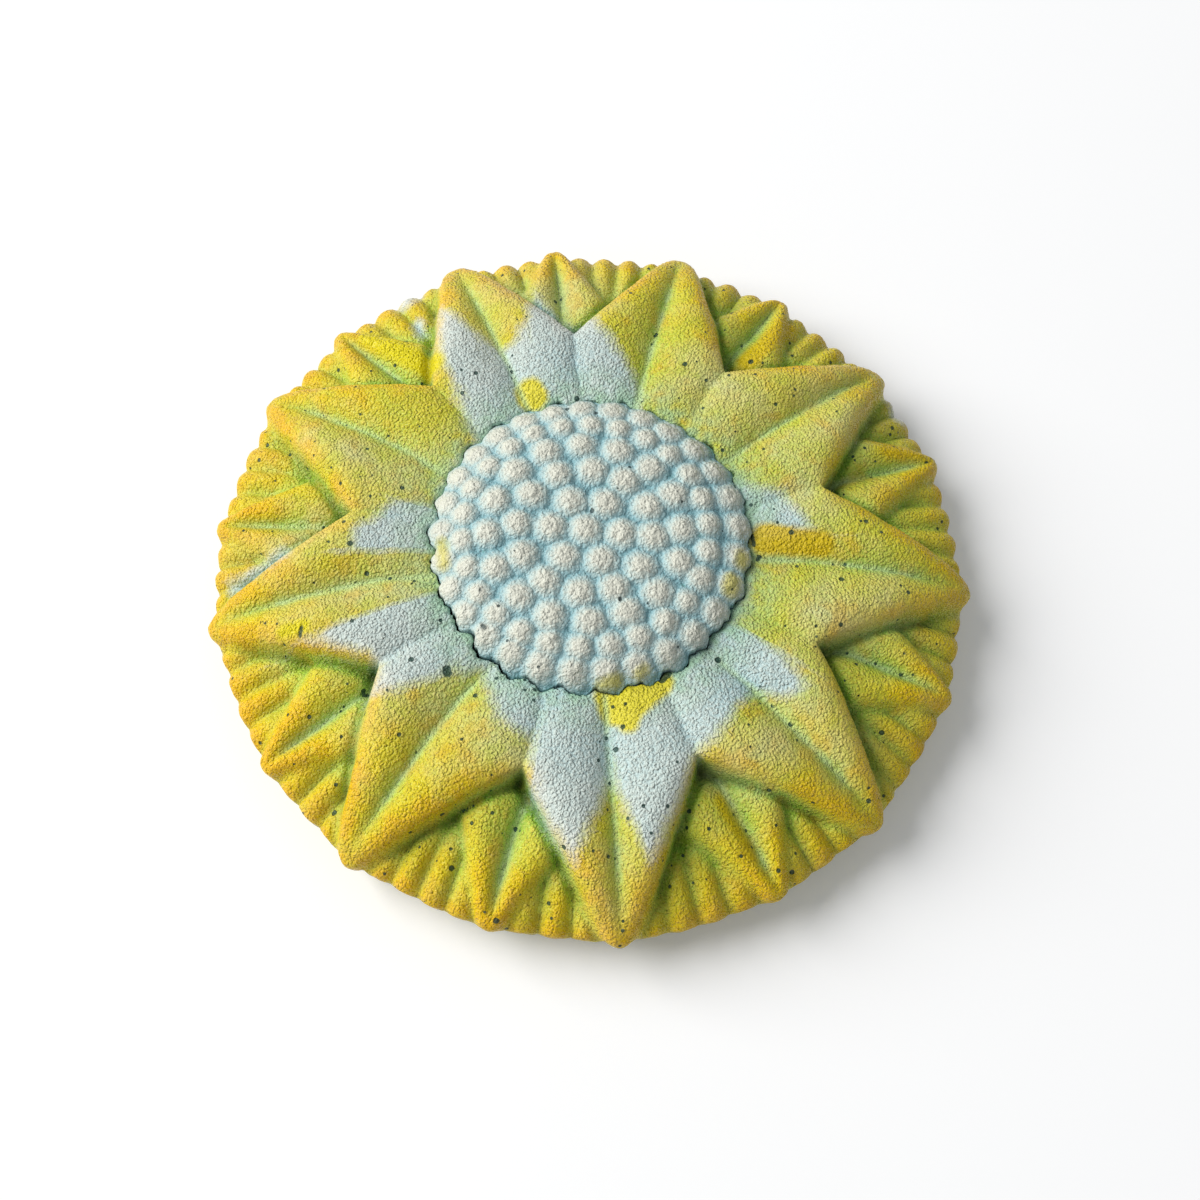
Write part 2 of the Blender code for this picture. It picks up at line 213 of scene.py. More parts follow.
def in_big_petal(radius, theta):
    return inside_edge(radius, big_angle(theta), BIG_START, BIG_END, TIP_R)


def in_small_petal(radius, theta):
    return inside_edge(radius, small_angle(theta), SMALL_START, SMALL_END, SMALL_TIP_R)


def notch_dip(radius):
    """How much the ground is lowered towards the notches."""
    return NOTCH_DROP * np.exp(-(((radius - NOTCH_R) / NOTCH_DROP_SPAN) ** 2))


def big_z(radius, theta):
    """Height over the rim of a big petal: two lobes and the groove between them."""
    slope = np.where(radius < BIG_CREST_R, BIG_RISE, BIG_FALL)
    crest = BIG_CREST_Z - slope * (radius - BIG_CREST_R) ** 2
    depth = BIG_GROOVE * groove_share(radius, *BIG_GROOVE_SPAN)
    wide = edge_angle(radius, BIG_START, BIG_END, HALF_DEG)
    return crest - depth + depth * lobe(np.abs(big_angle(theta)) / wide, BIG_CREST_AT)


def small_z(radius, theta):
    """Height over the rim of a small petal."""
    crest = SMALL_CREST_Z - SMALL_FALL * (radius - SMALL_CREST_R) ** 2 - notch_dip(radius)
    depth = SMALL_GROOVE * groove_share(radius, *SMALL_GROOVE_SPAN)
    wide = edge_angle(radius, SMALL_START, SMALL_END, SMALL_HALF_DEG)
    return crest - depth + depth * lobe(np.abs(small_angle(theta)) / wide, SMALL_CREST_AT)


def rib_z(radius, theta):
    """Height over the rim of the ribbed ground between the petals."""
    grow = smooth((radius - 0.78) / 0.15)
    height = RIB_HEIGHT[0] + (RIB_HEIGHT[1] - RIB_HEIGHT[0]) * grow
    level = RIB_LEVEL - RIB_FALL * (radius - RIB_START_R) ** 2
    return level + height * (rib_wave(theta) - 0.6) - notch_dip(radius)


def top_z(radius, theta):
    """Height of the petal relief over the rim."""
    in_small, in_big = in_small_petal(radius, theta), in_big_petal(radius, theta)
    z = rib_z(radius, theta)
    z = z + (small_z(radius, theta) - z) * smooth(1 + in_small / CLIFF)
    z = z - TRENCH * np.exp(-(((in_big + CLIFF + 0.006) / 0.010) ** 2))
    z = z + (big_z(radius, theta) - z) * smooth(1 + in_big / CLIFF)
    near_rim = np.clip((radius - outer_radius(theta)) / RIM_ROUND + 1, 0, 1)
    return z - RIM_ROUND * RIM_DROP * (1 - np.sqrt(1 - near_rim**2 * RIM_STEEP))


def periodic(knots, values):
    order = np.argsort(np.mod(knots, 360))
    return np.mod(knots, 360)[order], np.array(values)[order]


def hand_shift(radius, theta):
    """Turns points a little so that no two petals are quite alike."""
    knots, inner, outer = [], [], []
    for k in range(PETALS):
        middle = FIRST_PETAL_DEG - SECTOR_DEG * k
        knots += [middle, middle - HALF_DEG]
        inner += [GROOVE_SHIFT[k], NOTCH_SHIFT[k]]
        outer += [TIP_SHIFT[k], SMALL_SHIFT[k]]
    a = np.interp(theta, *periodic(knots, inner), period=360)
    b = np.interp(theta, *periodic(knots, outer), period=360)
    mix = smooth((radius - 0.45) / 0.45)
    return theta + smooth((radius - CRACK_R) / 0.15) * (a + (b - a) * mix)


def turn_from(theta, towards):
    """Degrees from a direction, -180 to 180."""
    return (theta - towards + 180) % 360 - 180


def ring_noise(theta, lumpiness, level, octaves=0):
    """Noise round a ring, the same at 0 and 360 degrees."""
    values = []
    for a in np.radians(np.ravel(theta)):
        where = Vector((math.cos(a), math.sin(a), level)) * lumpiness
        if octaves:
            values.append(noise.fractal(where, 0.8, 2.0, octaves))
        else:
            values.append(noise.noise(where))
    return np.reshape(values, np.shape(theta))


def crack_radius(theta):
    """The crack weaves round the outermost seeds, with a ragged edge."""
    count, _, first, _ = SEED_RINGS[-1]
    weave = np.cos(count * np.radians(theta - first))
    drift = np.sin(np.radians(3 * theta + 40)) + np.sin(np.radians(7 * theta + 200))
    ragged = ring_noise(theta, 18, 0.3, octaves=3)
    depth, towards, span = CRACK_FLAT
    flat = np.exp(-(turn_from(theta, towards) / span) ** 2)
    return CRACK_R - depth * flat + 0.0080 * weave + 0.0020 * drift + 0.010 * ragged


def half_crack(theta):
    """Half of the crack's width: widest at the lower left, nearly shut at the upper left."""
    wide = np.exp(-(turn_from(theta, 232) / 34.0) ** 2)
    shut = np.exp(-(turn_from(theta, 128) / 30.0) ** 2)
    pinch = ring_noise(theta, 30, 0.9)
    return np.maximum(0.0015 + 0.0028 * wide - 0.0010 * shut + 0.0018 * pinch, 0.0004)


def seeds():
    """Middle and radius of every seed."""
    for count, ring, first, size in SEED_RINGS:
        for k in range(count):
            a = math.radians(first + 360.0 * k / count)
            turned = turn_from(math.degrees(a), 0)
            push = EDGE_SEED_PUSH * math.exp(-((turned / EDGE_SEED_PUSH_DEG) ** 2))
            r = ring + push * (ring == SEED_RINGS[-1][1])
            x = DISC_SHIFT[0] + r * math.cos(a)
            y = DISC_SHIFT[1] + r * math.sin(a)
            wobble = noise.noise_vector(Vector((x, y, 0.7)) * 37)
            grown = size * (1 + 0.08 * wobble.z)
            yield x + SEED_WOBBLE * wobble.x, y + SEED_WOBBLE * wobble.y, grown


def disc_shape(x, y):
    """Height of the seed disc over the rim, and how far up a seed each point is."""
    r = np.hypot(x, y)
    up = np.zeros_like(x)
    for sx, sy, size in seeds():
        d = np.hypot(x - sx, y - sy) / size
        up = np.maximum(up, np.maximum(1 - d * d, 0) ** 1.3)
    return DISC_TOP_Z - DISC_DROP * (r / SEED_RINGS[-1][1]) ** 5 + SEED_Z * up, up


# ---- Mesh helpers -------------------------------------------------------------------
def lumps(points, size, seed):
    """Smooth noise with lumps about size across (same units as points), -1 to 1."""
    where = points / size + np.array((seed * 7.31, seed * 3.17, seed * 5.77))
    return np.array([noise.noise(Vector(p)) for p in where])


def grid_faces(rows, columns):
    """Quads of a grid that is closed round its columns."""
    i, j = np.meshgrid(np.arange(rows - 1), np.arange(columns), indexing="ij")
    k = (j + 1) % columns
    quads = (i * columns + j, (i + 1) * columns + j, (i + 1) * columns + k, i * columns + k)
    return np.stack(quads, -1).reshape(-1, 4).tolist()


def cavity(z, passes, depth):
    """1 in a hollow, -1 on a ridge, from the height less its blurred self."""
    blur = z.copy()
    for _ in range(passes):
        padded = np.vstack((blur[:1], blur, blur[-1:]))
        blur = (
            padded[:-2] + padded[2:] + np.roll(blur, 1, 1) + np.roll(blur, -1, 1)
        ) / 4
    return np.clip((blur - z) / depth, -1.5, 1.5)


def make_piece(name, points, faces, layers):
    mesh = bpy.data.meshes.new(name)
    mesh.from_pydata((points * RADIUS).tolist(), [], faces)
    for layer, values in layers.items():
        mesh.attributes.new(layer, "FLOAT", "POINT").data.foreach_set(
            "value", np.asarray(values, dtype=np.float32)
        )
    mesh.shade_smooth()
    for face in mesh.polygons:
        if len(face.vertices) > 4:
            face.use_smooth = False
    piece = bpy.data.objects.new(name, mesh)
    bpy.context.scene.collection.objects.link(piece)
    return piece


def roughen(piece, heights):
    """Moves each point along its normal, heights in shares of RADIUS."""
    mesh = piece.data
    n = len(mesh.vertices)
    normals, where = np.empty(n * 3, np.float32), np.empty(n * 3, np.float32)
    mesh.vertex_normals.foreach_get("vector", normals)
    mesh.vertices.foreach_get("co", where)
    where = where.reshape(-1, 3) + normals.reshape(-1, 3) * heights[:, None] * RADIUS
    mesh.vertices.foreach_set("co", where.ravel())
    mesh.update()


# ---- Where the sprayed colour is missing or strong, and painted shade ---------------
WHITE_FADE = 0.085
# How far out the white powder reaches, by direction: a knot at each turn of its edge.
WHITE_REACH = (
    (4.5, 0.40), (6.0, 0.57), (15.0, 0.53), (20.0, 0.51), (25.0, 0.45), (31.0, 0.40),
    (75.0, 0.40), (80.0, 0.50), (86.0, 0.57), (92.0, 0.64), (94.0, 0.68), (98.0, 0.67),
    (100.0, 0.70), (105.0, 0.79), (110.0, 0.67), (114.0, 0.63), (117.0, 0.63), (121.0, 0.72),
    (124.0, 0.84), (128.0, 0.75), (131.0, 0.68), (133.0, 0.59), (137.5, 0.49), (141.0, 0.42),
    (171.0, 0.42), (172.5, 0.52), (178.0, 0.56), (182.0, 0.61), (187.5, 0.61), (189.5, 0.40),
    (204.0, 0.40), (205.5, 0.75), (210.0, 0.69), (214.0, 0.64), (218.0, 0.64), (221.5, 0.69),
    (226.0, 0.60), (230.0, 0.50), (236.0, 0.455), (242.0, 0.48), (248.0, 0.53), (258.0, 0.56),
    (259.5, 0.60), (261.0, 0.68), (268.0, 0.79), (270.5, 0.82), (273.0, 0.75), (277.0, 0.65),
    (278.5, 0.65), (281.0, 0.755), (283.0, 0.83), (290.0, 0.72), (296.0, 0.63), (306.0, 0.59),
    (312.0, 0.57), (318.5, 0.57), (322.0, 0.63), (325.0, 0.655), (327.0, 0.64), (330.0, 0.55),
    (331.5, 0.42),
)
# Each patch is a run of discs: direction, radius, half-width.
PALE_PATCHES = (
    ((186.0, 0.80, 0.014), (189.5, 0.93, 0.014)),
    ((129.0, 0.83, 0.008), (128.0, 0.86, 0.010)),
    ((127.0, 0.96, 0.018), (125.0, 0.985, 0.016)),
    ((34.0, 0.99, 0.012), (31.0, 0.97, 0.012)),
)
CREAM_PATCHES = (
    ((12.0, 0.57, 0.060), (28.0, 0.58, 0.040)),
    ((200.0, 0.50, 0.050), (199.0, 0.74, 0.050)),
    ((97.0, 0.80, 0.100), (113.0, 0.82, 0.100)),
    ((304.0, 0.67, 0.050), (315.0, 0.72, 0.070)),
    ((245.0, 0.58, 0.050), (255.0, 0.60, 0.040)),
    ((345.0, 0.62, 0.080), (353.0, 0.78, 0.060)),
    ((182.0, 0.70, 0.060), (185.0, 0.84, 0.040)),
    ((50.0, 0.56, 0.060), (62.0, 0.58, 0.060)),
    ((276.0, 0.82, 0.020), (276.5, 0.93, 0.030)),
    ((225.0, 0.66, 0.030), (232.0, 0.56, 0.030)),
    ((326.0, 0.58, 0.050), (321.5, 0.84, 0.040)),
    ((166.0, 0.55, 0.050), (162.0, 0.76, 0.040)),
    ((30.0, 0.62, 0.030), (34.0, 0.86, 0.030)),
    ((43.0, 0.62, 0.020), (40.0, 0.88, 0.020)),
)
GOLD_PATCHES = (
    ((279.0, 0.425, 0.030), (283.0, 0.445, 0.056), (296.0, 0.415, 0.034)),
    ((284.0, 0.470, 0.040), (283.5, 0.500, 0.020)),
    ((114.5, 0.455, 0.036), (114.5, 0.475, 0.032)),
    ((5.0, 0.445, 0.036), (3.4, 0.590, 0.026)),
    ((133.0, 0.680, 0.026), (137.0, 0.900, 0.026)),
    ((57.0, 0.720, 0.026), (56.0, 0.920, 0.014)),
    ((25.0, 0.860, 0.014), (23.5, 0.960, 0.012)),
    ((6.0, 0.840, 0.010), (5.0, 0.870, 0.010)),
    ((299.0, 0.740, 0.016), (299.5, 0.880, 0.012)),
    ((202.5, 0.760, 0.012), (202.0, 0.810, 0.012)),
)
TEAL_BLOTS = (
    ((228.9, 0.508, 0.011), (229.7, 0.512, 0.011)),
    ((202.5, 0.762, 0.003), (204.0, 0.772, 0.006)),
    ((198.3, 0.862, 0.002), (199.4, 0.848, 0.004)),
    ((218.5, 0.694, 0.006), (219.4, 0.684, 0.004)),
    ((225.0, 0.643, 0.001), (223.6, 0.652, 0.003)),
    ((249.3, 0.762, 0.004), (250.3, 0.752, 0.003)),
    ((298.4, 0.410, 0.012), (301.0, 0.405, 0.010)),
    ((288.0, 0.404, 0.003), (296.5, 0.402, 0.007)),
    ((357.8, 0.425, 0.006), (358.6, 0.430, 0.006)),
    ((3.0, 0.414, 0.006), (7.0, 0.411, 0.004)),
)
# Painted shade: dark dots where small holes sit in the seeds.
SEED_PIT_SHADES = (
    ((226.4, 0.370, 0.006), (227.6, 0.371, 0.006)),
    ((213.6, 0.324, 0.003), (214.2, 0.325, 0.003)),
)
SEED_STAINS = (
    ((187.0, 0.385, 0.016), (196.0, 0.385, 0.016)),
    ((341.0, 0.372, 0.022), (345.0, 0.370, 0.022)),
    ((353.5, 0.382, 0.018), (356.0, 0.382, 0.018)),
    ((276.0, 0.398, 0.012), (282.0, 0.390, 0.018)),
    ((290.5, 0.386, 0.012), (293.0, 0.380, 0.012)),
)


def flat_place(angle, radius):
    a = math.radians(angle)
    return radius * math.cos(a), radius * math.sin(a)


def painted(patches, points, fade, grow=0.0):
    """1 well inside a patch, 0.5 at its edge, 0 well outside."""
    x, y = points[:, 0], points[:, 1]
    total = np.zeros_like(x)
    for patch in patches:
        for (angle0, r0, w0), (angle1, r1, w1) in zip(patch, patch[1:]):
            (x0, y0), (x1, y1) = flat_place(angle0, r0), flat_place(angle1, r1)
            along = (x - x0) * (x1 - x0) + (y - y0) * (y1 - y0)
            t = np.clip(along / ((x1 - x0) ** 2 + (y1 - y0) ** 2), 0, 1)
            gap = np.hypot(x - x0 - t * (x1 - x0), y - y0 - t * (y1 - y0))
            total = np.maximum(total, smooth((grow + w0 + (w1 - w0) * t - gap) / fade + 0.5))
    return total


def white_layer(points):
    """1 in the white powder round the seed disc, 0.5 at its edge."""
    x, y = points[:, 0], points[:, 1]
    theta, radius = np.degrees(np.arctan2(y, x)) % 360, np.hypot(x, y)
    angles, reach = np.array(WHITE_REACH).T
    edge = np.interp(theta, angles, reach, period=360)
    ahead = np.interp(theta + 0.5, angles, reach, period=360)
    slope = (ahead - edge) / (np.radians(0.5) * np.maximum(radius, 0.4))
    return smooth((edge - radius) / np.sqrt(1 + slope**2) / WHITE_FADE + 0.5)


def groove_line(radius, theta):
    """1 along the bottom of each petal's middle groove."""
    in_big, in_small = in_big_petal(radius, theta), in_small_petal(radius, theta)
    off_big = radius * np.sin(np.radians(np.abs(big_angle(theta))))
    off_small = radius * np.sin(np.radians(np.abs(small_angle(theta))))
    big = np.exp(-((off_big / 0.0085) ** 2)) * smooth((0.92 - radius) / 0.12)
    small = np.exp(-((off_small / 0.010) ** 2)) * (in_big < -CLIFF) * (in_small > -CLIFF)
    small = small * smooth((0.97 - radius) / 0.10)
    return np.maximum(big, small)


def from_notch(radius, theta):
    """Place beyond the nearest notch: outward from it, and to its side."""
    a = np.radians(around(theta, FIRST_PETAL_DEG + HALF_DEG))
    return radius * np.cos(a) - NOTCH_R, radius * np.sin(a)


def recess(radius, theta):
    """1 in the deep corner outside each notch between two big petals."""
    out, side = from_notch(radius, theta)
    corner = np.exp(-(((out - 0.030) / 0.040) ** 2) - (side / 0.040) ** 2)
    open_ground = 0.35 * smooth((0.88 - radius) / 0.12)
    return np.maximum(corner, open_ground) * smooth(-in_big_petal(radius, theta) / 0.02)


def petal_foot(radius, theta):
    """1 in the shadowed line at the foot of each big petal, and deep under its notches."""
    out, side = from_notch(radius, theta)
    notch = np.exp(-(((out - 0.028) / 0.017) ** 2) - (side / 0.015) ** 2)
    in_big = in_big_petal(radius, theta)
    line = np.exp(-(((in_big + CLIFF) / 0.007) ** 2)) * smooth((0.97 - radius) / 0.12)
    return np.maximum(notch * smooth(-in_big / 0.01), 0.45 * line)


def petal_fringe(radius, theta):
    """1 along the rounded shoulder of each big petal's edge."""
    in_big = in_big_petal(radius, theta)
    return np.exp(-(((in_big - 0.012) / 0.016) ** 2)) * smooth((radius - 0.60) / 0.15)


# ---- Petal body ---------------------------------------------------------------------
def petal_rows():
    """Rows of points of the socket, top face and flank, and where the top's points lie."""
    theta = np.arange(COLUMNS) * 360.0 / COLUMNS
    inner = crack_radius(theta) + half_crack(theta)
    outer = outer_radius(theta)
    share = np.linspace(0, 1, TOP_ROWS)[:, None]
    radius = inner + (outer - inner) * share
    across = np.broadcast_to(theta, radius.shape)
    height = RIM_Z + top_z(radius, across)
    lip_depth, lip_width = CRACK_LIP
    height = height - lip_depth * np.exp(-((radius - inner) / lip_width) ** 2)
    turned = np.radians(hand_shift(radius, across))
    top = np.stack((radius * np.cos(turned), radius * np.sin(turned), height), -1)
    socket = wall_rows(top[0], (SOCKET_Z, 0.16, 0.21))
    flank, last = [], top[-1]
    r_last = np.hypot(last[:, 0], last[:, 1])
    for q in np.arange(1, FLANK_ROWS + 1) / FLANK_ROWS:
        curl = 1 - np.sqrt(1 - q * q * FLANK_STEEP)
        ring = last * ((r_last + (BASE_R - r_last) * curl) / r_last)[:, None]
        ring[:, 2] = last[:, 2] * (1 - q) ** 1.15
        flank.append(ring)
    return socket, top, np.array(flank), radius, across


def wall_rows(edge, levels):
    """Copies of an edge at several heights, always a little below the edge itself."""
    rows = []
    for z in levels:
        ring = edge.copy()
        ring[:, 2] = np.minimum(z, ring[:, 2] - 0.004)
        rows.append(ring)
    return np.array(rows)


def build_petal_body():
    socket, top, flank, radius, across = petal_rows()
    grid = np.concatenate((socket, top, flank))
    count = len(grid)
    points = grid.reshape(-1, 3)
    faces = grid_faces(count, COLUMNS)
    faces.append(list(range(COLUMNS)))
    faces.append([(count - 1) * COLUMNS + j for j in reversed(range(COLUMNS))])

    z_all = np.concatenate((top[..., 2], flank[..., 2]))
    hollow = cavity(z_all, 40, 0.010)
    lead = np.ones((len(socket), COLUMNS))
    r_all = np.concatenate((lead * CRACK_R, radius, np.ones((len(flank), COLUMNS))))
    t_all = np.concatenate(
        (lead * across[0], across, np.ones((len(flank), COLUMNS)) * across[0])
    )
    pale_patches = painted(PALE_PATCHES, points, fade=0.075, grow=0.006)
    layers = {
        "cavity": np.concatenate((lead * 1.5, hollow)).ravel(),
        "pale": np.maximum(white_layer(points), pale_patches),
        "cream": painted(CREAM_PATCHES, points, fade=0.22),
        "gold": painted(GOLD_PATCHES, points, fade=0.045, grow=0.006),
        "groove": groove_line(r_all, t_all).ravel(),
        "recess": recess(r_all, t_all).ravel(),
        "foot": petal_foot(r_all, t_all).ravel(),
        "fringe": petal_fringe(r_all, t_all).ravel(),
        "teal": painted(TEAL_BLOTS, points, fade=0.012),
        "reach": r_all.ravel(),
        # 1 on the socket walls, which take painted crack shade.
        "crack_shade": np.concatenate((lead, np.zeros_like(z_all))).ravel(),
    }
    piece = make_piece("powder_petals", points, faces, layers)
    shape = 0.0030 * lumps(points, 0.16, 1) + 0.0016 * lumps(points, 0.06, 2)
    shape = shape + 0.0012 * lumps(points, 0.024, 3)
    ends = smooth((r_all.ravel() - 0.6) / 0.4)
    shape = shape + 0.0014 * ends * lumps(points, 0.017, 4)
    still = np.ones(count)
    still[: len(socket) + 1] = 0
    still[-2:] = 0
    roughen(piece, shape * np.repeat(still, COLUMNS))
    return piece


# ---- Seed disc ----------------------------------------------------------------------
def build_seed_disc():
    theta = np.arange(DISC_COLUMNS) * 360.0 / DISC_COLUMNS
    edge = crack_radius(theta) - half_crack(theta)
    share = np.linspace(0, 1, DISC_ROWS + 1)[1:, None] ** 0.85
    radius = edge * share
    a = np.radians(np.broadcast_to(theta, radius.shape))
    x, y = radius * np.cos(a), radius * np.sin(a)
    height, up = disc_shape(x, y)
    top = np.stack((x, y, RIM_Z + height), -1)
    side = wall_rows(top[-1], (0.20, 0.14, SOCKET_Z + 0.007))
    grid = np.concatenate((top, side))
    count = len(grid)
    points = np.vstack((grid.reshape(-1, 3), [[0, 0, 0]]))
    middle = len(points) - 1
    z_mid, up_mid = disc_shape(np.zeros(1), np.zeros(1))
    points[middle, 2] = RIM_Z + z_mid[0]
    faces = grid_faces(count, DISC_COLUMNS)
    faces += [(middle, j, (j + 1) % DISC_COLUMNS) for j in range(DISC_COLUMNS)]
    faces.append([(count - 1) * DISC_COLUMNS + j for j in reversed(range(DISC_COLUMNS))])
    down = np.zeros((len(side), DISC_COLUMNS))
    layers = {
        "up": np.append(np.concatenate((up, down)).ravel(), up_mid),
        # 1 on the disc's side walls, which take painted crack shade.
        "crack_shade": np.append(np.concatenate((up * 0, down + 1)).ravel(), 0),
        "stain": painted(SEED_STAINS, points, fade=0.04),
        "pit_shade": painted(SEED_PIT_SHADES, points, fade=0.006),
    }
    piece = make_piece("powder_seeds", points, faces, layers)
    shape = 0.0022 * lumps(points, 0.05, 5) + 0.0030 * lumps(points, 0.0155, 6)
    shape = shape + 0.0012 * lumps(points, 0.008, 7)
    still = np.append(np.repeat([1.0] * (DISC_ROWS - 1) + [0] * 4, DISC_COLUMNS), 1)
    roughen(piece, shape * still)
    return piece


# ---- Materials ----------------------------------------------------------------------
def tone(red, green, blue):
    """Linear colour from everyday 0 to 255 values."""
    c = np.array((red, green, blue)) / 255.0
    linear = np.where(c <= 0.04045, c / 12.92, ((c + 0.055) / 1.055) ** 2.4)
    return (*[float(v) for v in linear], 1.0)


SPRAY_TONES = (  # golden to deep green
    (0.02, tone(238, 186, 10)),
    (0.26, tone(227, 204, 26)),
    (0.46, tone(212, 208, 68)),
    (0.62, tone(190, 210, 84)),
    (0.80, tone(146, 190, 60)),
    (1.00, tone(84, 128, 26)),
)
WHITE_TONES = (  # warm white to teal
    (0.15, tone(220, 223, 212)),
    (0.46, tone(205, 221, 216)),
    (0.66, tone(175, 209, 214)),
    (0.85, tone(134, 176, 176)),
    (1.00, tone(70, 116, 112)),
)
SEED_TONES = (  # between the seeds to their tops
    (0.00, tone(132, 176, 184)),
    (0.22, tone(164, 198, 202)),
    (0.50, tone(194, 212, 207)),
    (0.85, tone(219, 220, 206)),
)
# Painted shade inside the crack between the seed disc and the petals: near black with a teal
# cast.
CRACK_SHADE_TONE = tone(14, 46, 44)


class Shades:
    """Builds one material's node tree."""

    def __init__(self, name):
        self.material = bpy.data.materials.new(name)
        self.material.use_nodes = True
        self.tree = self.material.node_tree
        self.shader = self.tree.nodes["Principled BSDF"]
        self.place = self.add("ShaderNodeTexCoord").outputs["Object"]
        split = self.add("ShaderNodeSeparateXYZ")
        self.put(split.inputs[0], self.place)
        self.across, self.height = split.outputs["X"], split.outputs["Z"]

    def add(self, kind, **settings):
        made = self.tree.nodes.new(kind)
        for key, value in settings.items():
            setattr(made, key, value)
        return made

    def put(self, socket, value):
        if isinstance(value, bpy.types.NodeSocket):
            self.tree.links.new(value, socket)
        else:
            socket.default_value = value

    def layer(self, name):
        return self.add("ShaderNodeAttribute", attribute_name=name).outputs["Fac"]

    def maths(self, operation, *values, clamp=False):
        made = self.add("ShaderNodeMath", operation=operation, use_clamp=clamp)
        for socket, value in zip(made.inputs, values):
            self.put(socket, value)
        return made.outputs[0]

    def cloud(self, size_mm, detail=2.0, offset=0.0):
        made = self.add("ShaderNodeTexNoise", noise_dimensions="4D")
        self.put(made.inputs["Vector"], self.place)
        made.inputs["W"].default_value = offset
        made.inputs["Scale"].default_value = 1000.0 / size_mm
        made.inputs["Detail"].default_value = detail
        return made.outputs["Fac"]

    def cells(self, size_mm, feature="F1", where=None):
        made = self.add("ShaderNodeTexVoronoi", feature=feature)
        self.put(made.inputs["Vector"], where or self.place)
        made.inputs["Scale"].default_value = 1000.0 / size_mm
        return made

    def ramp(self, value, stops):
        made = self.add("ShaderNodeValToRGB")
        self.put(made.inputs["Fac"], value)
        points = made.color_ramp.elements
        while len(points) < len(stops):
            points.new(0.5)
        for point, (at, colour) in zip(points, stops):
            point.position, point.color = at, colour
        return made.outputs["Color"]

    def mix(self, share, first, second):
        made = self.add("ShaderNodeMix", data_type="RGBA")
        self.put(made.inputs["Factor"], share)
        self.put(made.inputs[6], first)
        self.put(made.inputs[7], second)
        return made.outputs[2]

    def step(self, value, start, end):
        """0 below start, 1 above end."""
        made = self.add("ShaderNodeMapRange", clamp=True)
        for socket, v in zip(made.inputs, (value, start, end, 0.0, 1.0)):
            self.put(socket, v)
        return made.outputs[0]

    def specks(self, size_mm, share, radius):
        """1 inside scattered round specks, few and of mixed size."""
        spots = self.cells(size_mm)
        pick = self.add("ShaderNodeSeparateColor")
        self.put(pick.inputs[0], spots.outputs["Color"])
        chosen = self.maths("GREATER_THAN", pick.outputs[0], 1 - share)
        size = self.maths("MULTIPLY_ADD", pick.outputs[1], radius, radius * 0.35)
        edge = self.maths("SUBTRACT", size, spots.outputs["Distance"])
        inside = self.step(edge, -0.005, 0.02)
        return self.maths("MULTIPLY", inside, chosen)

    def bumps(self, *layers):
        """Chains height layers, each (height, distance in metres)."""
        normal = None
        for height, distance in layers:
            made = self.add("ShaderNodeBump")
            made.inputs["Distance"].default_value = distance
            made.inputs["Strength"].default_value = 1.0
            self.put(made.inputs["Height"], height)
            if normal:
                self.put(made.inputs["Normal"], normal)
            normal = made.outputs["Normal"]
        self.put(self.shader.inputs["Normal"], normal)


def pebbles(s, size_mm, warp):
    """Height of packed, slightly squashed grains: 1 on a grain and 0 between grains."""
    bend = s.add("ShaderNodeTexNoise")
    s.put(bend.inputs["Vector"], s.place)
    bend.inputs["Scale"].default_value = 1000.0 / (size_mm * 1.6)
    where = s.add("ShaderNodeVectorMath", operation="MULTIPLY_ADD")
    s.put(where.inputs[0], bend.outputs["Color"])
    where.inputs[1].default_value = (warp * size_mm * 0.004,) * 3
    s.put(where.inputs[2], s.place)
    grains = s.cells(size_mm, "SMOOTH_F1", where.outputs[0])
    grains.inputs["Smoothness"].default_value = 0.3
    return s.step(grains.outputs["Distance"], 0.75, 0.05)


def centred(s, value, amount, base):
    """base + amount * (value - 0.5)"""
    return s.maths("MULTIPLY_ADD", s.maths("SUBTRACT", value, 0.5), amount, base)


def petal_tint(s, grain, patch):
    """0 where the colour is golden, 1 where it is green: the spray's own tone, with painted
    shade added towards +X, the side away from the lamp.
    """
    tint = s.maths("MULTIPLY_ADD", s.layer("cavity"), 0.16, 0.46)
    tint = centred(s, grain, -0.16, tint)
    tint = centred(s, patch, 0.44, tint)
    # Greener and darker towards +X, away from the lamp: partly the spray's own tone, partly
    # painted shade.
    tint = s.maths("MULTIPLY_ADD", s.across, 1.6, tint)
    tint = s.maths("MULTIPLY_ADD", s.step(s.layer("reach"), 0.55, 1.0), -0.14, tint)
    return s.maths("MULTIPLY_ADD", s.layer("recess"), 0.34, tint)


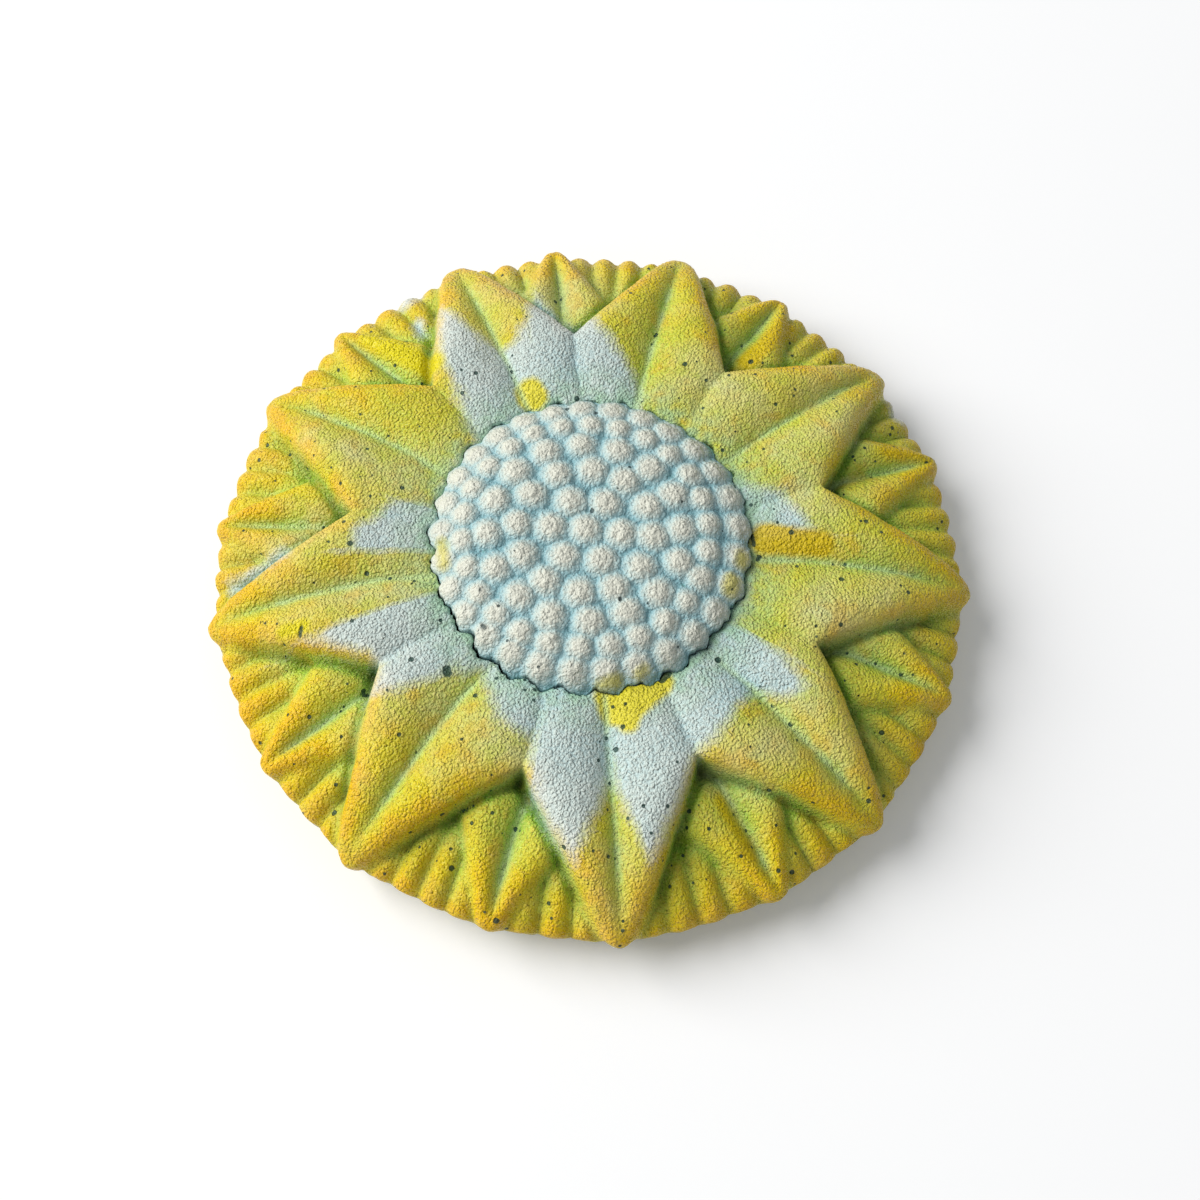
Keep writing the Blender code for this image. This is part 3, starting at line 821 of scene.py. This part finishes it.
def sprayed_yellow(s, tint, grain, ends):
    """The spray: golden to green, bare in places, mottled, with creamy grain tops."""
    yellow = s.ramp(tint, SPRAY_TONES)
    bare = s.step(centred(s, s.cloud(4.0, 3.0, 2.0), 1.9, s.layer("cream")), 0.0, 1.1)
    bare = s.maths("MULTIPLY", bare, s.maths("MULTIPLY_ADD", ends, -0.40, 0.76))
    yellow = s.mix(bare, yellow, tone(212, 215, 162))
    patchy = s.step(s.cloud(3.0, 2.0, 5.0), 0.35, 0.65)
    fringe = s.maths("MULTIPLY", s.layer("fringe"), patchy)
    yellow = s.mix(s.maths("MULTIPLY", fringe, 0.40), yellow, tone(222, 172, 28))
    mottle = s.cloud(2.4, 2.0, 6.0)
    orange = s.maths("MULTIPLY", s.step(mottle, 0.54, 0.68), 0.38)
    yellow = s.mix(orange, yellow, tone(228, 174, 30))
    lime = s.maths("MULTIPLY", s.step(mottle, 0.46, 0.34), 0.38)
    yellow = s.mix(lime, yellow, tone(196, 208, 62))
    rim = s.maths("MULTIPLY", s.step(s.layer("reach"), 0.84, 0.98), 0.25)
    yellow = s.mix(rim, yellow, tone(214, 174, 0))
    creamy = s.maths("MULTIPLY_ADD", ends, -0.30, s.maths("MULTIPLY_ADD", bare, 0.40, 0.50))
    tops = s.maths("MULTIPLY", s.step(grain, 0.55, 0.90), creamy)
    return s.mix(tops, yellow, tone(238, 224, 136))


def accents(s, colour, fine, blot):
    """Mint round the seed disc and in the grooves, and strong yellow patches."""
    broken = s.step(s.cloud(1.6, 3.0, 4.0), 0.30, 0.60)
    near = s.maths("MULTIPLY", s.step(s.layer("reach"), 0.530, 0.415), broken)
    colour = s.mix(s.maths("MULTIPLY", near, 0.75), colour, tone(156, 200, 158))
    to_right = s.step(s.across, 0.2 * RADIUS, 0.45 * RADIUS)
    strong = s.mix(to_right, tone(228, 214, 16), tone(218, 188, 16))
    gold = centred(s, fine, 0.5, centred(s, blot, 0.4, s.layer("gold")))
    gold = s.maths("MULTIPLY", s.step(gold, 0.2, 0.8), 0.92)
    colour = s.mix(gold, colour, strong)
    mint = s.maths("MULTIPLY", s.layer("groove"), s.step(blot, 0.25, 0.60))
    return s.mix(s.maths("MULTIPLY", mint, 0.75), colour, tone(196, 224, 158))


def petal_specks(s, fine):
    """1 in dark specks, in the finer specks along the grooves and in teal blots."""
    dark = s.maths("MAXIMUM", s.specks(2.4, 0.80, 0.10), s.specks(1.1, 0.30, 0.14))
    lined = s.maths("MULTIPLY", s.specks(0.9, 0.5, 0.22), s.layer("groove"))
    dark = s.maths("MAXIMUM", dark, s.step(lined, 0.35, 0.8))
    blots = s.step(centred(s, fine, 0.9, s.layer("teal")), 0.35, 0.65)
    return s.maths("MAXIMUM", dark, blots)


def finish_powder(s, colour, grain, *bumps):
    """Dry, matte powder surface."""
    s.put(s.shader.inputs["Base Color"], colour)
    s.put(s.shader.inputs["Roughness"], s.step(grain, -0.6, 2.2))
    s.shader.inputs["Specular IOR Level"].default_value = 0.25
    s.bumps(*bumps)
    return s.material


def petal_material():
    s = Shades("pressed_petal_powder")
    ends = s.step(s.layer("reach"), 0.55, 1.0)
    grain = pebbles(s, 0.30, 0.38)
    fine = s.cloud(0.26, 3.0)
    blot = s.cloud(2.2, 2.0)
    tint = petal_tint(s, grain, s.cloud(7.0, 3.0, 1.0))
    white = centred(s, blot, 0.55, centred(s, fine, 0.5, s.layer("pale")))
    white = s.step(centred(s, grain, 0.15, white), 0.16, 0.84)
    yellow = sprayed_yellow(s, tint, grain, ends)
    colour = s.mix(white, yellow, s.ramp(tint, WHITE_TONES))
    colour = accents(s, colour, fine, blot)
    colour = s.mix(s.maths("MULTIPLY", s.layer("foot"), 0.75), colour, tone(44, 62, 14))
    dark = petal_specks(s, fine)
    colour = s.mix(s.maths("MULTIPLY", dark, 0.90), colour, tone(22, 66, 58))
    # Painted shade on the crack walls.
    colour = s.mix(s.layer("crack_shade"), colour, CRACK_SHADE_TONE)
    # Painted shade: the flank that curls under the rim is darkened and browned towards the
    # floor.
    low = s.step(s.height, 0.125 * RADIUS, 0.05 * RADIUS)
    colour = s.mix(s.maths("MULTIPLY", low, 0.6), colour, tone(120, 100, 36))
    return finish_powder(
        s, colour, grain, (grain, 0.00016), (fine, 0.00018), (dark, -0.0001)
    )


def disc_material():
    s = Shades("pressed_disc_powder")
    up = s.layer("up")
    grain = pebbles(s, 0.32, 0.40)
    fine = s.cloud(0.28, 3.0, 2.0)
    level = centred(s, s.cloud(3.0, 3.0), 0.40, centred(s, grain, 0.22, up))
    colour = s.ramp(level, SEED_TONES)
    green = s.maths("MULTIPLY", s.step(s.cloud(1.5, 3.0, 3.0), 0.62, 0.70), 0.6)
    green = s.maths("MULTIPLY", green, s.step(level, 0.25, 0.0))
    colour = s.mix(green, colour, tone(60, 130, 110))
    stain = s.step(centred(s, fine, 0.6, s.layer("stain")), 0.2, 0.9)
    colour = s.mix(s.maths("MULTIPLY", stain, 0.75), colour, tone(214, 204, 88))
    dark = s.maths("MAXIMUM", s.specks(3.2, 0.25, 0.08), s.specks(1.1, 0.05, 0.14))
    # Painted shade in the small holes of the seeds; the bump gives only a slight dent.
    dark = s.maths("MAXIMUM", dark, s.layer("pit_shade"))
    colour = s.mix(s.maths("MULTIPLY", dark, 0.85), colour, tone(24, 50, 52))
    # Painted shade on the crack walls.
    colour = s.mix(s.layer("crack_shade"), colour, CRACK_SHADE_TONE)
    return finish_powder(
        s, colour, grain, (grain, 0.00010), (fine, 0.00017), (dark, -0.0001)
    )


# ---- Set ----------------------------------------------------------------------------
FLOOR_LIFT = 0.11  # keeps the studio floor near white outside the shadow


def build_floor():
    s = Shades("pale_floor")
    s.shader.inputs["Base Color"].default_value = (0.965, 0.97, 0.985, 1.0)
    s.shader.inputs["Roughness"].default_value = 0.9
    s.shader.inputs["Emission Color"].default_value = (1.0, 1.0, 1.0, 1.0)
    s.shader.inputs["Emission Strength"].default_value = FLOOR_LIFT
    mesh = bpy.data.meshes.new("floor")
    h = 3.0
    mesh.from_pydata([(-h, -h, 0), (h, -h, 0), (h, h, 0), (-h, h, 0)], [], [(0, 1, 2, 3)])
    mesh.materials.append(s.material)
    floor = bpy.data.objects.new("floor", mesh)
    bpy.context.scene.collection.objects.link(floor)
    floor.location.z = -0.0001
    floor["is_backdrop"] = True


def add_light(name, place, size, watts, colour):
    lamp = bpy.data.lights.new(name, "AREA")
    lamp.shape, lamp.size, lamp.energy, lamp.color = "DISK", size, watts, colour
    body = bpy.data.objects.new(name, lamp)
    bpy.context.scene.collection.objects.link(body)
    body.location = place
    body.rotation_euler = (-Vector(place)).to_track_quat("-Z", "Y").to_euler()


def build_lights():
    """One broad lamp from the left and slightly behind, in a dim bluish room."""
    add_light("key", (-1.19, 0.22, 0.88), 1.30, 30.0, (1.0, 0.985, 0.96))
    world = bpy.data.worlds.new("soft_room")
    world.use_nodes = True
    world.node_tree.nodes["Background"].inputs[0].default_value = (0.93, 0.97, 1.0, 1)
    world.node_tree.nodes["Background"].inputs[1].default_value = 0.275
    bpy.context.scene.world = world
    bpy.context.scene.view_settings.view_transform = "Standard"


def build_camera():
    """Above the front edge, four radii away, with a slight roll."""
    elevation, roll, away = math.radians(66.22), math.radians(4.02), 4.0 * RADIUS
    aim = Vector((0, 0, (RIM_Z - 0.155) * RADIUS))
    data = bpy.data.cameras.new("camera")
    data.lens, data.sensor_width = 43.70, 36.0
    data.clip_start = 0.01
    data.shift_x, data.shift_y = 0.00873, -0.01095
    camera = bpy.data.objects.new("camera", data)
    bpy.context.scene.collection.objects.link(camera)
    back = Vector((0, -math.cos(elevation), math.sin(elevation)))
    turn = back.to_track_quat("Z", "Y").to_matrix() @ Matrix.Rotation(roll, 3, "Z")
    camera.matrix_world = Matrix.Translation(aim + back * away) @ turn.to_4x4()
    bpy.context.scene.camera = camera


def main():
    petals = build_petal_body()
    petals.data.materials.append(petal_material())
    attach(petals, "root")
    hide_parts("petal_body")
    disc = build_seed_disc()
    disc.data.materials.append(disc_material())
    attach(disc, "root")
    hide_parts("seed_disc")
    build_floor()
    build_lights()
    build_camera()


main()
boxes = {"cad": CAD_BOX, "visual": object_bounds()}
{k: [[float(v) for v in c] for c in b] for k, b in boxes.items()}
